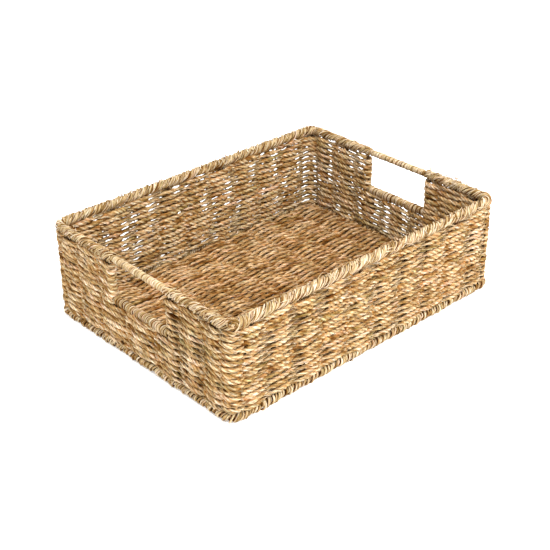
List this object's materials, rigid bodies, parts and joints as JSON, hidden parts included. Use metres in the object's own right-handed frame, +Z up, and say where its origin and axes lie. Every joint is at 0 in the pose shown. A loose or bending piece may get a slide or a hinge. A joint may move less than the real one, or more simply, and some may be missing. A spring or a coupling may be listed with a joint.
{
  "type": "rectangular storage basket",
  "caption": "Open rectangular storage basket of twisted seagrass cord woven over a steel wire frame, with wrapped rims and a cut-out hand grip in each short end.",
  "frame": {"origin": "middle of the basket's footprint, on the surface it stands on", "axes": "+X along the basket's length, from the left handle to the right handle; +Y from the front long wall to the back long wall; +Z up"},
  "size_m": [0.4, 0.3, 0.116],
  "materials": {
    "seagrass_cord": "matte",
    "seagrass_wrap": "matte",
    "seagrass_floor": "matte",
    "steel_wire": "satin"
  },
  "bodies": {
    "root": {"top_rim_rod": "steel_wire", "base_rim_rod": "steel_wire", "corner_posts": "steel_wire", "front_stakes": "steel_wire", "back_stakes": "steel_wire", "left_end_stakes": "steel_wire", "right_end_stakes": "steel_wire", "left_handle_uprights": "steel_wire", "right_handle_uprights": "steel_wire", "left_sill_rod": "steel_wire", "right_sill_rod": "steel_wire", "floor_cross_rods": "steel_wire", "wall_course_1": "seagrass_cord", "wall_course_2": "seagrass_cord", "wall_course_3": "seagrass_cord", "wall_course_4": "seagrass_cord", "wall_course_5": "seagrass_cord", "wall_course_6": "seagrass_cord", "wall_course_7": "seagrass_cord", "wall_course_8": "seagrass_cord", "wall_course_9": "seagrass_cord", "wall_course_10": "seagrass_cord", "wall_course_11": "seagrass_cord", "wall_course_12": "seagrass_cord", "wall_course_13": "seagrass_cord", "front_side_pair_1": "seagrass_cord", "front_side_pair_2": "seagrass_cord", "front_side_pair_3": "seagrass_cord", "front_side_pair_4": "seagrass_cord", "front_side_pair_5": "seagrass_cord", "front_side_pair_6": "seagrass_cord", "front_side_pair_7": "seagrass_cord", "back_side_pair_1": "seagrass_cord", "back_side_pair_2": "seagrass_cord", "back_side_pair_3": "seagrass_cord", "back_side_pair_4": "seagrass_cord", "back_side_pair_5": "seagrass_cord", "back_side_pair_6": "seagrass_cord", "back_side_pair_7": "seagrass_cord", "floor_cords_1": "seagrass_floor", "floor_cords_2": "seagrass_floor", "floor_cords_3": "seagrass_floor", "floor_cords_4": "seagrass_floor", "floor_cords_5": "seagrass_floor", "floor_cords_6": "seagrass_floor", "base_wrap": "seagrass_wrap", "rim_wrap_front": "seagrass_wrap", "rim_wrap_back": "seagrass_wrap", "left_grip_wrap": "seagrass_wrap", "right_grip_wrap": "seagrass_wrap", "left_sill_wrap": "seagrass_wrap", "right_sill_wrap": "seagrass_wrap"}
  },
  "joints": []
}
